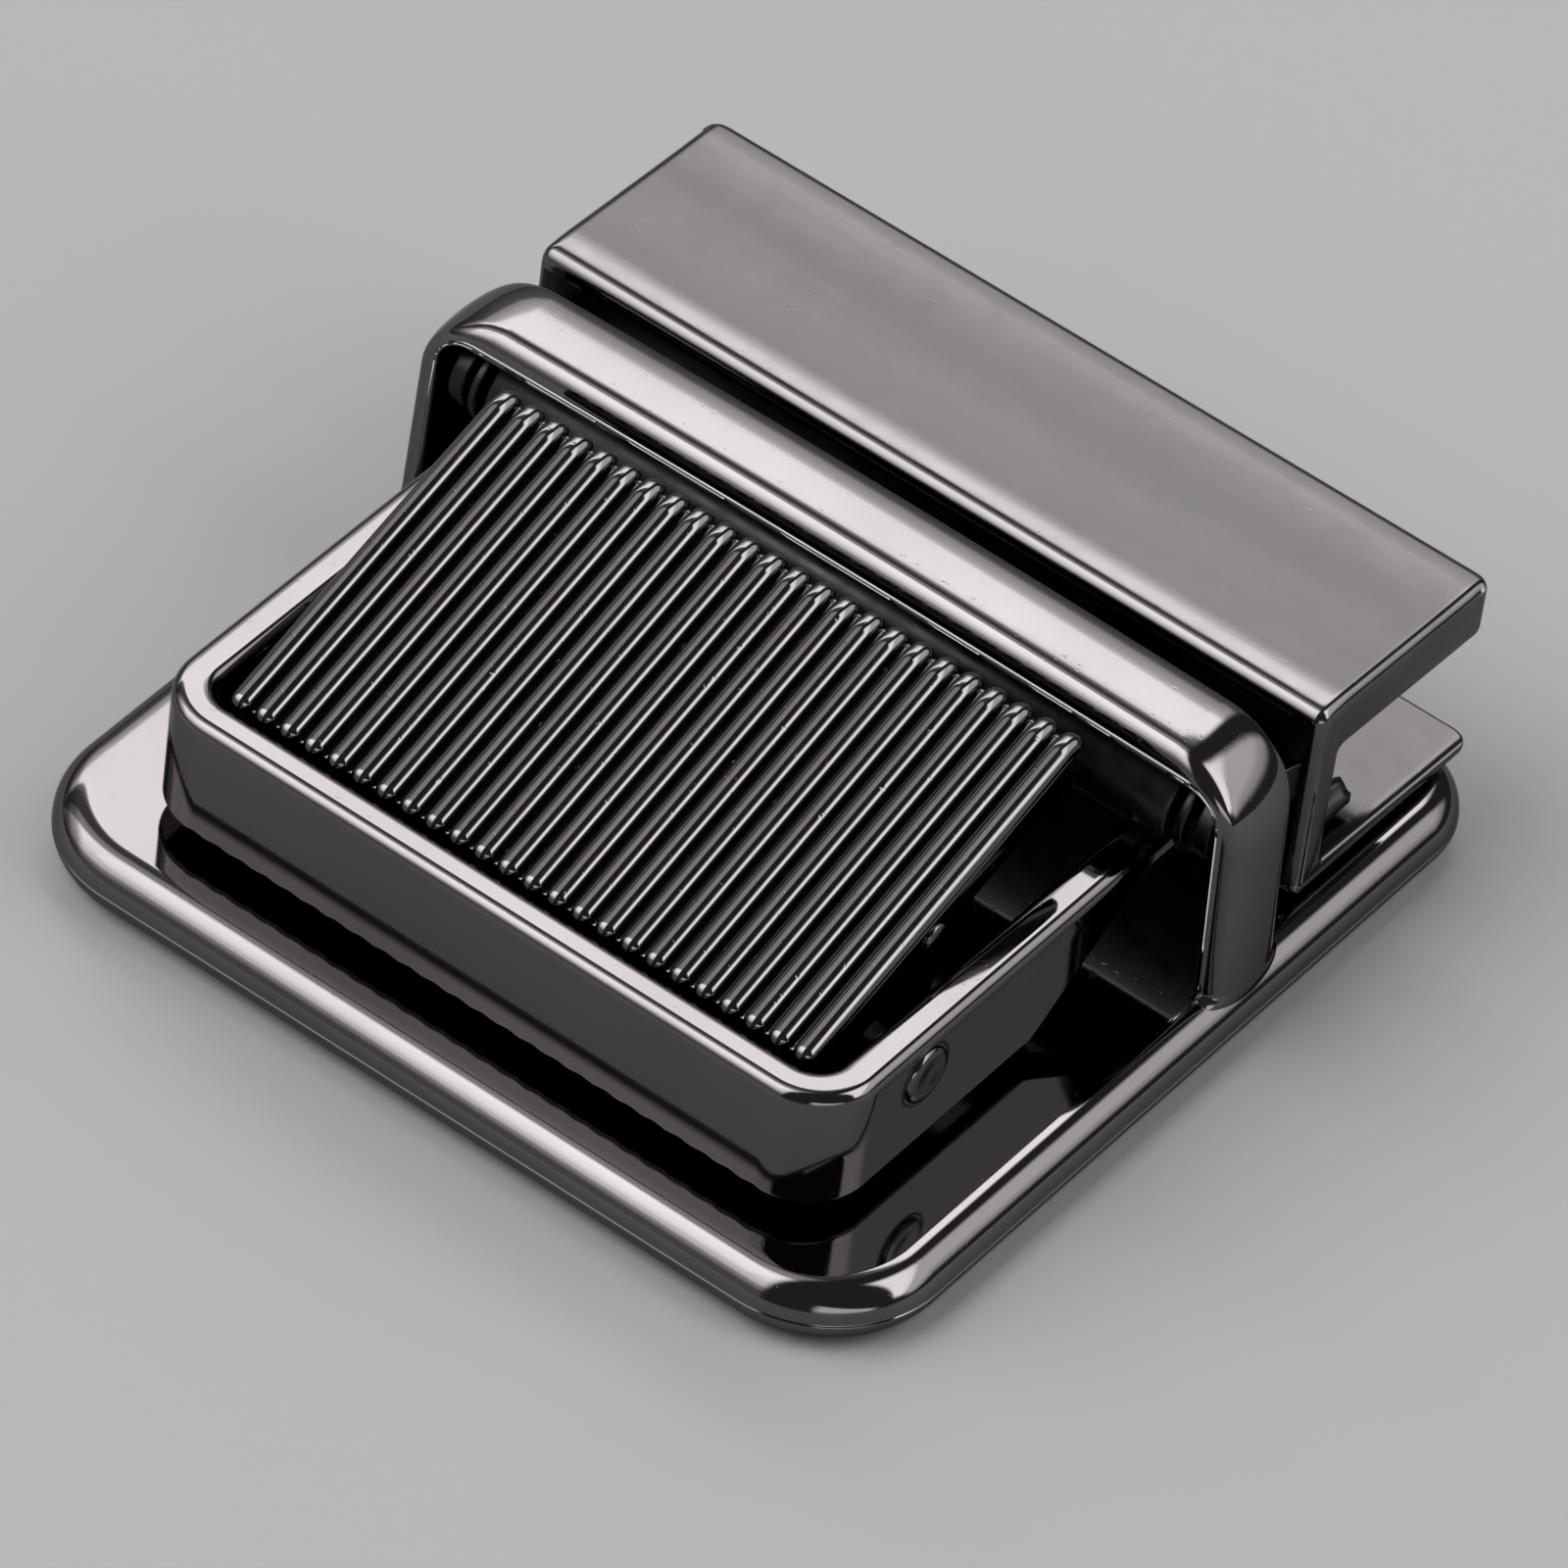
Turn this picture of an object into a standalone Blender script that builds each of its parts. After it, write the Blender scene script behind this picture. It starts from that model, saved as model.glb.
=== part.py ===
"""Clamp-and-lever belt buckle, lying on its face with its back up.

X runs across the belt, Y along it and Z away from the face. The origin is the
centre of the face. The strap's loose end lies on the plate's back, under the
lever frame and through the keeper arch; its fixed end sits in the clamp.
"""
import math

import bmesh
import bpy
from mathutils import Vector

MM = 0.001

# Face plate
PLATE_HALF_X = 19.2
PLATE_HALF_Y = 19.25
PLATE_THICK = 2.6
PLATE_FRONT_CORNER_R = 5.0
PLATE_REAR_CORNER_R = 3.6
PLATE_EDGE_R = 1.35

# Running gap between separate solids
GAP = 0.3

# Keeper arch
ARCH_FRONT_Y = 2.45
ARCH_REAR_Y = 6.2
ARCH_TOP_Z = 12.9
ARCH_HALF_X = 19.1
ARCH_INNER_HALF_X = 17.96
ARCH_INNER_TOP_Z = 11.75
ARCH_OUTER_R = 2.3
ARCH_INNER_R = 1.2
ARCH_LIP_DROP = 0.4
ARCH_REAR_DROP = 0.55

# Hinge axle in the arch's legs, with its frame barrel and clamp eyes
AXLE_Y = 4.3
AXLE_Z = 9.25
AXLE_R = 0.9
AXLE_SEAT_DEPTH = 0.5
AXLE_END_GAP = 0.15
EYE_R = 1.8
EYE_HOLE_R = AXLE_R + GAP

# Lever frame
FRAME_HALF_X = 15.36
FRAME_FRONT_Y = -16.5
FRAME_BOTTOM_Z = 3.55
FRAME_TOP_Z = 8.7
FRAME_WALL = 1.6
FRAME_FRONT_WALL = 1.4
FRAME_CORNER_R = 2.6
FRAME_BEVEL = 0.35
RELIEF_FRONT_Y = -4.2
RELIEF_REAR_Z = 7.6

# Ribbed lever: the rib crests' centre line runs from LEVER_FRONT to LEVER_REAR
LEVER_FRONT = (-14.3, 8.71)
LEVER_REAR = (0.45, 13.5)
LEVER_THICK = 1.6
RIB_COUNT = 24
RIB_PITCH = 1.09
RIB_R = 0.5
RIB_SIDES = 4
HUB_REAR = (-7.9, 5.6)
NOSE_BOTTOM = ((-10.2, 4.1), (-12.2, 3.45), (-13.2, 3.5))
NOSE_FRONT = ((-13.9, 4.6), (-14.25, 6.0), (-14.45, 7.6))
SPRING_POCKET_HALF_X = 3.4
SPRING_POCKET_REAR_Y = -7.2
SPRING_POCKET_TOP_Z = 8.65

# Lever pin
PIN_Y = -10.85
PIN_Z = 6.9
PIN_R = 1.15
PIN_SHAFT_R = 0.85
PIN_PROUD = 0.25

# Torsion spring on the pin
SPRING_TURNS = 5
SPRING_COIL_R = 1.4
SPRING_WIRE_R = 0.2
SPRING_PITCH = 0.95
SPRING_LEG = 2.6
SPRING_STEPS_PER_TURN = 14
SPRING_SIDES = 6

# Strap clamp
CLAMP_HALF_X = 17.65
CLAMP_FRONT_Y = 8.35
CLAMP_TOP_Z = 11.85
CLAMP_TOP_FALL = 0.45
CLAMP_BOTTOM_Z = 2.9
CLAMP_TOP_REAR_Y = 18.85
CLAMP_BOTTOM_REAR_Y = 19.2
CLAMP_TOP_THICK = 2.3
CLAMP_BOTTOM_THICK = 0.9
CLAMP_WEB = 1.5
CLAMP_EDGE = 0.25
CLAMP_FOOT_R = 0.6
CLAMP_TEETH = 3
CLAMP_TOOTH_PITCH = 1.1
CLAMP_TOOTH_HEIGHT = 0.55
EAR_THICK = 1.15
EAR_ROOT_RISE = 0.3

# Tooth bar inside the clamp
BAR_HALF_X = 16.8
BAR_DEPTH = 2.6
BAR_THICK = 0.5
BAR_TEETH = 30
BAR_TOOTH_HEIGHT = 0.7

# Washers on the axle
WASHER_R = 1.75
WASHER_THICK = 0.4

ROUND_SIDES = 24


def clear_scene():
    """Remove everything that the open file holds."""
    for obj in list(bpy.data.objects):
        bpy.data.objects.remove(obj, do_unlink=True)


def finish(name, color, metallic, roughness):
    """Make one Principled material."""
    mat = bpy.data.materials.new(name)
    mat.use_nodes = True
    shader = mat.node_tree.nodes["Principled BSDF"]
    shader.inputs["Base Color"].default_value = (*color, 1.0)
    shader.inputs["Metallic"].default_value = metallic
    shader.inputs["Roughness"].default_value = roughness
    return mat


def node(name, bm, mat, pivot=(0.0, 0.0, 0.0)):
    """Turn a bmesh in millimetres into an object in metres, with its origin at the pivot."""
    bmesh.ops.remove_doubles(bm, verts=bm.verts, dist=0.0005)
    bmesh.ops.recalc_face_normals(bm, faces=bm.faces)
    offset = Vector(pivot)
    for vert in bm.verts:
        vert.co = (vert.co - offset) * MM
    mesh = bpy.data.meshes.new(name)
    bm.to_mesh(mesh)
    bm.free()
    mesh.materials.append(mat)
    mesh.shade_smooth()
    mesh.set_sharp_from_angle(angle=math.radians(35.0))
    obj = bpy.data.objects.new(name, mesh)
    obj.location = offset * MM
    bpy.context.collection.objects.link(obj)
    return obj


def cutter(name, bm, pivot=(0.0, 0.0, 0.0)):
    """Make an object that only cuts or joins others."""
    obj = node(name, bm, finish(name, (0.5, 0.5, 0.5), 0.0, 0.5), pivot)
    obj.hide_render = True
    obj.display_type = "WIRE"
    return obj


def combine(obj, other, operation):
    """Join the other object to this one, or cut it away."""
    mod = obj.modifiers.new(other.name, "BOOLEAN")
    mod.operation = operation
    mod.solver = "EXACT"
    mod.object = other


def arc(center, radius, start_deg, end_deg, steps):
    """Points on an arc, both ends included."""
    span = math.radians(end_deg - start_deg)
    first = math.radians(start_deg)
    angles = [first + span * i / steps for i in range(steps + 1)]
    return [(center[0] + radius * math.cos(a), center[1] + radius * math.sin(a)) for a in angles]


def rounded_outline(half_x, half_y, front_radius, rear_radius, steps=6):
    """A rectangle with round corners, counter-clockwise from its right front corner."""
    points = []
    for sign_x, sign_y, start in ((1, -1, -90), (1, 1, 0), (-1, 1, 90), (-1, -1, 180)):
        radius = front_radius if sign_y < 0 else rear_radius
        center = (sign_x * (half_x - radius), sign_y * (half_y - radius))
        points += arc(center, radius, start, start + 90, steps)
    return points


def stack(bm, rings):
    """Join closed rings of equal length into one body with flat ends."""
    rows = [[bm.verts.new(point) for point in ring] for ring in rings]
    for low, high in zip(rows, rows[1:]):
        for i in range(len(low)):
            j = (i + 1) % len(low)
            bm.faces.new((low[i], low[j], high[j], high[i]))
    bm.faces.new(list(reversed(rows[0])))
    bm.faces.new(rows[-1])


def prism_along_x(profile, x_low, x_high):
    """Extrude a closed outline of (y, z) points along X."""
    bm = bmesh.new()
    stack(bm, [[(x, y, z) for y, z in profile] for x in (x_low, x_high)])
    return bm


def turned_along_x(y, z, stations, sides=ROUND_SIDES):
    """A round body along X through (x, radius) stations."""
    rings = []
    for x, r in stations:
        angles = [2.0 * math.pi * i / sides for i in range(sides)]
        rings.append([(x, y + r * math.cos(a), z + r * math.sin(a)) for a in angles])
    bm = bmesh.new()
    stack(bm, rings)
    return bm


def rod_along_x(y, z, radius, x_low, x_high, sides=ROUND_SIDES):
    """A plain round bar along X."""
    return turned_along_x(y, z, [(x_low, radius), (x_high, radius)], sides)


def make_face_plate(mat):
    """The plaque: rounded outlines stacked from the face up, with a full round edge."""
    steps = 4
    rings = []
    for i in range(steps + 1):
        a = math.radians(90.0 * i / steps)
        rings.append((PLATE_EDGE_R * (1.0 - math.sin(a)), PLATE_EDGE_R * (1.0 - math.cos(a))))
    top_r = PLATE_THICK - PLATE_EDGE_R
    for i in range(1, steps + 1):
        a = math.radians(90.0 * i / steps)
        rings.append((PLATE_EDGE_R * (1.0 - math.cos(a)), PLATE_EDGE_R + top_r * math.sin(a)))
    bm = bmesh.new()
    layers = []
    for inset, z in rings:
        outline = rounded_outline(
            PLATE_HALF_X - inset,
            PLATE_HALF_Y - inset,
            PLATE_FRONT_CORNER_R - inset,
            PLATE_REAR_CORNER_R - inset,
        )
        layers.append([(x, y, z) for x, y in outline])
    stack(bm, layers)
    return node("face_plate", bm, mat)


def arch_section(y, drop):
    """The arch seen along Y: its outer side lowered by a drop, its inner side as it is."""
    half = ARCH_HALF_X - drop
    top = ARCH_TOP_Z - drop
    radius = ARCH_OUTER_R - drop
    foot = PLATE_THICK + GAP
    outer = [(half, foot)]
    outer += arc((half - radius, top - radius), radius, 0, 90, 5)
    outer += arc((radius - half, top - radius), radius, 90, 180, 5)
    outer.append((-half, foot))
    inner = [(-ARCH_INNER_HALF_X, foot)]
    center_x = ARCH_INNER_HALF_X - ARCH_INNER_R
    center_z = ARCH_INNER_TOP_Z - ARCH_INNER_R
    inner += arc((-center_x, center_z), ARCH_INNER_R, 180, 90, 5)
    inner += arc((center_x, center_z), ARCH_INNER_R, 90, 0, 5)
    inner.append((ARCH_INNER_HALF_X, foot))
    return [(x, y, z) for x, z in outer + inner]


def make_keeper_arch(mat):
    """The arch, crowned along Y, with a blind seat for the axle in each leg."""
    depth = ARCH_REAR_Y - ARCH_FRONT_Y
    stations = ((0.0, ARCH_LIP_DROP), (0.12, 0.0), (0.45, 0.0), (0.8, 0.2), (1.0, ARCH_REAR_DROP))
    bm = bmesh.new()
    stack(bm, [arch_section(ARCH_FRONT_Y + share * depth, drop) for share, drop in stations])
    arch = node("keeper_arch", bm, mat)
    reach = ARCH_INNER_HALF_X + AXLE_SEAT_DEPTH
    seats = cutter("axle_seats", rod_along_x(AXLE_Y, AXLE_Z, EYE_HOLE_R, -reach, reach, 16))
    combine(arch, seats, "DIFFERENCE")
    return arch


def make_hinge_axle(mat):
    """The steel axle that both swinging parts turn on."""
    reach = ARCH_INNER_HALF_X + AXLE_SEAT_DEPTH - AXLE_END_GAP
    bm = rod_along_x(AXLE_Y, AXLE_Z, AXLE_R, -reach, reach, 16)
    return node("hinge_axle", bm, mat, (0.0, AXLE_Y, AXLE_Z))


def frame_plan():
    """The frame from above: a front bar and two side walls that end over the axle."""
    steps = 5
    outer_x = FRAME_HALF_X - FRAME_CORNER_R
    outer_y = FRAME_FRONT_Y + FRAME_CORNER_R
    inner_half = FRAME_HALF_X - FRAME_WALL
    inner_front = FRAME_FRONT_Y + FRAME_FRONT_WALL
    inner_r = FRAME_CORNER_R - FRAME_WALL
    points = [(-FRAME_HALF_X, AXLE_Y)]
    points += arc((-outer_x, outer_y), FRAME_CORNER_R, 180, 270, steps)
    points += arc((outer_x, outer_y), FRAME_CORNER_R, 270, 360, steps)
    points += [(FRAME_HALF_X, AXLE_Y), (inner_half, AXLE_Y)]
    points += arc((inner_half - inner_r, inner_front + inner_r), inner_r, 360, 270, steps)
    points += arc((inner_r - inner_half, inner_front + inner_r), inner_r, 270, 180, steps)
    points.append((-inner_half, AXLE_Y))
    return points


def make_cam_frame(mat):
    """The lever's frame, with a barrel across its rear for the axle."""
    plan = frame_plan()
    bm = bmesh.new()
    stack(bm, [[(x, y, z) for x, y in plan] for z in (FRAME_BOTTOM_Z, FRAME_TOP_Z)])
    top_edges = [e for e in bm.edges if all(v.co.z > FRAME_TOP_Z - 0.01 for v in e.verts)]
    bmesh.ops.bevel(bm, geom=top_edges, offset=FRAME_BEVEL, segments=2, affect="EDGES", profile=0.5)
    frame = node("cam_frame", bm, mat, (0.0, AXLE_Y, AXLE_Z))
    margin = 1.0
    wedge = [
        (RELIEF_FRONT_Y, FRAME_BOTTOM_Z - margin),
        (AXLE_Y + margin, FRAME_BOTTOM_Z - margin),
        (AXLE_Y + margin, RELIEF_REAR_Z),
        (ARCH_FRONT_Y - 0.3, RELIEF_REAR_Z),
        (RELIEF_FRONT_Y, FRAME_BOTTOM_Z),
    ]
    relief = cutter("strap_relief", prism_along_x(wedge, -FRAME_HALF_X - margin, FRAME_HALF_X + margin))
    combine(frame, relief, "DIFFERENCE")
    barrel = cutter("frame_barrel", rod_along_x(AXLE_Y, AXLE_Z, EYE_R, -FRAME_HALF_X, FRAME_HALF_X))
    combine(frame, barrel, "UNION")
    reach = FRAME_HALF_X + margin
    bore = cutter("frame_bore", rod_along_x(AXLE_Y, AXLE_Z, EYE_HOLE_R, -reach, reach, 16))
    combine(frame, bore, "DIFFERENCE")
    pin_holes = cutter("frame_pin_holes", rod_along_x(PIN_Y, PIN_Z, PIN_R + GAP, -reach, reach, 16))
    combine(frame, pin_holes, "DIFFERENCE")
    return frame


def lever_side():
    """The lever from the side, without its ribs: slab, hub round the pin, and nose."""
    run = Vector((LEVER_REAR[0] - LEVER_FRONT[0], LEVER_REAR[1] - LEVER_FRONT[1])).normalized()
    down = Vector((run.y, -run.x))
    front = Vector(LEVER_FRONT)
    rear = Vector(LEVER_REAR)
    rear_low = rear + down * LEVER_THICK - run * 0.4
    slab_run = 7.2
    slab_low = rear_low - run * slab_run
    points = [front, rear, rear_low, slab_low, Vector(HUB_REAR)]
    points += [Vector(p) for p in NOSE_BOTTOM]
    points += [Vector(p) for p in NOSE_FRONT]
    return [tuple(p) for p in points]


def rib_bars():
    """One half-round rib on the lever's top, as a closed bar with round front end."""
    run = Vector((0.0, LEVER_REAR[0] - LEVER_FRONT[0], LEVER_REAR[1] - LEVER_FRONT[1]))
    length = run.length
    run.normalize()
    up = Vector((0.0, -run.z, run.y))
    front = Vector((0.0, *LEVER_FRONT))
    sunk = 0.25
    stations = ((-0.8 * RIB_R, 0.4), (-0.4 * RIB_R, 0.85), (0.0, 1.0), (length - 0.6, 1.0), (length, 0.7))
    bars = []
    for i in range(RIB_COUNT):
        x = (i - (RIB_COUNT - 1) / 2.0) * RIB_PITCH
        rings = []
        for along, scale in stations:
            center = front + run * along
            ring = []
            for a in [math.pi * k / RIB_SIDES for k in range(RIB_SIDES + 1)]:
                side = RIB_R * scale * math.cos(a)
                height = RIB_R * scale * math.sin(a)
                ring.append(center + Vector((x + side, 0.0, 0.0)) + up * height)
            width = RIB_R * scale
            ring.append(center + Vector((x - width, 0.0, 0.0)) - up * sunk)
            ring.append(center + Vector((x + width, 0.0, 0.0)) - up * sunk)
            rings.append([tuple(p) for p in ring])
        bars.append(rings)
    return bars


def make_grip_lever(mat):
    """The thumb lever: a slab on a hub with a nose, its top ribbed along Y."""
    half_x = RIB_PITCH * (RIB_COUNT - 1) / 2.0 + RIB_R
    lever = node("grip_lever", prism_along_x(lever_side(), -half_x, half_x), mat, (0.0, PIN_Y, PIN_Z))
    ribs_bm = bmesh.new()
    for rings in rib_bars():
        stack(ribs_bm, rings)
    ribs = cutter("lever_ribs", ribs_bm)
    combine(lever, ribs, "UNION")
    reach = half_x + 1.0
    bore = cutter("lever_bore", rod_along_x(PIN_Y, PIN_Z, PIN_SHAFT_R + GAP, -reach, reach, 16))
    combine(lever, bore, "DIFFERENCE")
    low_z = PLATE_THICK
    front_y = NOSE_FRONT[-1][0] - 1.0
    coil_front_y = PIN_Y - SPRING_COIL_R - SPRING_WIRE_R - GAP
    pocket = [
        (front_y, low_z),
        (SPRING_POCKET_REAR_Y, low_z),
        (SPRING_POCKET_REAR_Y, SPRING_POCKET_TOP_Z),
        (coil_front_y, SPRING_POCKET_TOP_Z),
        (coil_front_y, PIN_Z - 1.0),
        (front_y, PIN_Z - 1.0),
    ]
    room = cutter("spring_room", prism_along_x(pocket, -SPRING_POCKET_HALF_X, SPRING_POCKET_HALF_X))
    combine(lever, room, "DIFFERENCE")
    return lever


def make_lever_pin(mat):
    """The pin through the frame, its thicker riveted ends a little proud of the side walls."""
    tip = FRAME_HALF_X + PIN_PROUD
    neck = FRAME_HALF_X - FRAME_WALL + 0.4
    half = [(tip, PIN_R - PIN_PROUD), (FRAME_HALF_X, PIN_R), (neck, PIN_R), (neck, PIN_SHAFT_R)]
    stations = [(-x, r) for x, r in half] + half[::-1]
    bm = turned_along_x(PIN_Y, PIN_Z, stations, 16)
    return node("lever_pin", bm, mat, (0.0, PIN_Y, PIN_Z))


def make_lever_spring(mat):
    """A helix round the pin with one straight leg forward and one to the rear."""
    total = SPRING_TURNS * SPRING_STEPS_PER_TURN
    half_width = SPRING_PITCH * SPRING_TURNS / 2.0
    path = [Vector((-half_width, PIN_Y - SPRING_LEG, PIN_Z - SPRING_COIL_R))]
    for i in range(total + 1):
        a = -math.pi / 2.0 + 2.0 * math.pi * i / SPRING_STEPS_PER_TURN
        x = -half_width + 2.0 * half_width * i / total
        path.append(Vector((x, PIN_Y + SPRING_COIL_R * math.cos(a), PIN_Z + SPRING_COIL_R * math.sin(a))))
    path.append(Vector((half_width, PIN_Y + SPRING_LEG, PIN_Z - SPRING_COIL_R)))
    rings = []
    for i, point in enumerate(path):
        ahead = path[min(i + 1, len(path) - 1)] - path[max(i - 1, 0)]
        tangent = ahead.normalized()
        side = Vector((1.0, 0.0, 0.0))
        side = (side - tangent * side.dot(tangent)).normalized()
        other = tangent.cross(side)
        angles = [2.0 * math.pi * k / SPRING_SIDES for k in range(SPRING_SIDES)]
        ring = [point + (side * math.cos(a) + other * math.sin(a)) * SPRING_WIRE_R for a in angles]
        rings.append([tuple(p) for p in ring])
    bm = bmesh.new()
    stack(bm, rings)
    return node("lever_spring", bm, mat, (0.0, PIN_Y, PIN_Z))


def clamp_top(y):
    """The height of the clamp's top, which falls evenly towards its rear."""
    return CLAMP_TOP_Z - CLAMP_TOP_FALL * (y - CLAMP_FRONT_Y) / (CLAMP_TOP_REAR_Y - CLAMP_FRONT_Y)


def clamp_profile():
    """The clamp seen along X: top plate, web and bottom plate, with teeth under the top plate."""
    e = CLAMP_EDGE
    inner_bottom = CLAMP_BOTTOM_Z + CLAMP_BOTTOM_THICK
    inner_front = CLAMP_FRONT_Y + CLAMP_WEB
    points = arc((CLAMP_FRONT_Y + CLAMP_FOOT_R, CLAMP_BOTTOM_Z + CLAMP_FOOT_R), CLAMP_FOOT_R, 180, 270, 3)
    foot_center = (CLAMP_BOTTOM_REAR_Y - CLAMP_FOOT_R, CLAMP_BOTTOM_Z + CLAMP_FOOT_R)
    points += arc(foot_center, CLAMP_FOOT_R, 270, 360, 3)
    points += [(CLAMP_BOTTOM_REAR_Y, inner_bottom - e), (CLAMP_BOTTOM_REAR_Y - e, inner_bottom)]
    points += [(inner_front, inner_bottom), (inner_front, clamp_top(inner_front) - CLAMP_TOP_THICK)]
    tooth_y = inner_front + 0.5
    for i in range(CLAMP_TEETH):
        y = tooth_y + i * CLAMP_TOOTH_PITCH
        tip_y = y + CLAMP_TOOTH_PITCH / 2.0
        points.append((y, clamp_top(y) - CLAMP_TOP_THICK))
        points.append((tip_y, clamp_top(tip_y) - CLAMP_TOP_THICK - CLAMP_TOOTH_HEIGHT))
    end_y = tooth_y + CLAMP_TEETH * CLAMP_TOOTH_PITCH
    points.append((end_y, clamp_top(end_y) - CLAMP_TOP_THICK))
    rear, rear_top = CLAMP_TOP_REAR_Y, clamp_top(CLAMP_TOP_REAR_Y)
    points += [(rear - e, rear_top - CLAMP_TOP_THICK), (rear, rear_top - CLAMP_TOP_THICK + e)]
    points += [(rear, rear_top - e), (rear - e, rear_top)]
    points += [(CLAMP_FRONT_Y + e, CLAMP_TOP_Z), (CLAMP_FRONT_Y, CLAMP_TOP_Z - e)]
    return points


def ear_profile():
    """One hinge ear of the clamp: a tab that ends in a round eye on the axle."""
    points = arc((AXLE_Y, AXLE_Z), EYE_R, 60, 270, 12)
    points += [(CLAMP_FRONT_Y + 0.5, AXLE_Z - EYE_R), (CLAMP_FRONT_Y + 0.5, AXLE_Z + EAR_ROOT_RISE)]
    return points


def make_strap_clamp(mat):
    """The U-shaped channel for the strap's fixed end, hung on the axle by two ears."""
    clamp = node(
        "strap_clamp",
        prism_along_x(clamp_profile(), -CLAMP_HALF_X, CLAMP_HALF_X),
        mat,
        (0.0, AXLE_Y, AXLE_Z),
    )
    for side, sign in (("left", -1.0), ("right", 1.0)):
        outer = sign * (CLAMP_HALF_X - 0.05)
        inner = sign * (CLAMP_HALF_X - EAR_THICK)
        ear = cutter("clamp_ear_" + side, prism_along_x(ear_profile(), min(outer, inner), max(outer, inner)))
        combine(clamp, ear, "UNION")
    reach = CLAMP_HALF_X + 1.0
    bore = cutter("clamp_bore", rod_along_x(AXLE_Y, AXLE_Z, EYE_HOLE_R, -reach, reach, 16))
    combine(clamp, bore, "DIFFERENCE")
    return clamp


def make_tooth_bar(mat):
    """The toothed strip that lies on the clamp's floor against its web."""
    low = CLAMP_BOTTOM_Z + CLAMP_BOTTOM_THICK + GAP
    front = CLAMP_FRONT_Y + CLAMP_WEB + GAP
    base = low + BAR_THICK
    pitch = 2.0 * BAR_HALF_X / BAR_TEETH
    profile = [(-BAR_HALF_X, low), (BAR_HALF_X, low), (BAR_HALF_X, base)]
    for i in range(BAR_TEETH):
        x = BAR_HALF_X - pitch * (i + 0.5)
        profile.append((x, base + BAR_TOOTH_HEIGHT))
        profile.append((x - pitch / 2.0, base))
    bm = bmesh.new()
    stack(bm, [[(x, y, z) for x, z in profile] for y in (front, front + BAR_DEPTH)])
    return node("clamp_tooth_bar", bm, mat, (0.0, AXLE_Y, AXLE_Z))


def make_axle_washer(side, sign, mat):
    """A washer between the frame's wall and the clamp's ear."""
    start = FRAME_HALF_X + 0.3
    x_low, x_high = sorted((sign * start, sign * (start + WASHER_THICK)))
    washer = node("axle_washer_" + side, rod_along_x(AXLE_Y, AXLE_Z, WASHER_R, x_low, x_high), mat)
    bore = cutter("washer_bore_" + side, rod_along_x(AXLE_Y, AXLE_Z, EYE_HOLE_R, x_low - 1, x_high + 1, 16))
    combine(washer, bore, "DIFFERENCE")
    return washer


def main():
    clear_scene()
    make_face_plate(finish("plate_plating", (0.16, 0.15, 0.15), 1.0, 0.06))
    make_keeper_arch(finish("arch_plating", (0.18, 0.17, 0.17), 1.0, 0.06))
    make_cam_frame(finish("frame_plating", (0.16, 0.15, 0.15), 1.0, 0.08))
    make_grip_lever(finish("lever_plating", (0.12, 0.115, 0.115), 1.0, 0.12))
    make_strap_clamp(finish("clamp_plating", (0.2, 0.19, 0.19), 1.0, 0.12))
    make_tooth_bar(finish("bar_steel", (0.3, 0.29, 0.28), 1.0, 0.4))
    make_lever_spring(finish("spring_steel", (0.5, 0.5, 0.5), 1.0, 0.25))
    pin_steel = finish("pin_steel", (0.35, 0.34, 0.33), 1.0, 0.2)
    make_hinge_axle(pin_steel)
    make_lever_pin(pin_steel)
    washer_steel = finish("washer_steel", (0.12, 0.115, 0.115), 1.0, 0.3)
    make_axle_washer("left", -1.0, washer_steel)
    make_axle_washer("right", 1.0, washer_steel)


main()
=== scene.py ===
"""Looks of a gunmetal clamp-and-lever belt buckle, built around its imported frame.

Shapes are worked out in millimetres as arrays of points and turned into metres
when their mesh is made. X runs across the belt, Y along it and Z away from the face.
"""
import math

import bpy
import numpy as np
from mathutils import Matrix


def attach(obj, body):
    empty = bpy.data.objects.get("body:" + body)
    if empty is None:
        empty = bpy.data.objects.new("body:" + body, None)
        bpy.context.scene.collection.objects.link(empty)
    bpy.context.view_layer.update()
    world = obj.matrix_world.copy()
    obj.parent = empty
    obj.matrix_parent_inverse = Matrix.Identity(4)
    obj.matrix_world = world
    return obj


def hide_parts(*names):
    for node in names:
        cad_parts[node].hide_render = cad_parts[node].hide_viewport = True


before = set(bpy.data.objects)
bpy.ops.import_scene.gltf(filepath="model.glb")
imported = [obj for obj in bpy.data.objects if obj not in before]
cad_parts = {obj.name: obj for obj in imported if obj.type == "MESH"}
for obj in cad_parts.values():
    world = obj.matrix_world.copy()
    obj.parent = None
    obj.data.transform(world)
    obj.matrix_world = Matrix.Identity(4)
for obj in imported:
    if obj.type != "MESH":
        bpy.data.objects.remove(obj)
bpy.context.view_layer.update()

MM = 0.001
FULL_TURN = 2.0 * math.pi

# Extra rows stand this close to where a flat meets a curve, so that the flat reflects flat
HOLD = 0.03
LONG_SPAN = 0.25

# Face plate
PLATE_HALF_X = 19.2
PLATE_HALF_Y = 19.25
PLATE_THICK = 2.6
PLATE_FRONT_CORNER_R = 5.0
PLATE_REAR_CORNER_R = 3.6
PLATE_FACE_R = 1.25
PLATE_BACK_R = 1.35

# Keeper arch
ARCH_INNER_HALF_X = 17.7
ARCH_LEAN = 0.35
ARCH_INNER_TOP_Z = 11.72
ARCH_INNER_R = 1.25
ARCH_OUTER_R = 3.6
ARCH_FRONT_Y = 2.45
ARCH_REAR_Y = 6.2
ARCH_THICK = 1.2
ARCH_FOOT_Z = 0.9
ARCH_FOOT_FLARE = 0.35
ARCH_BOW = 0.2

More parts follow.
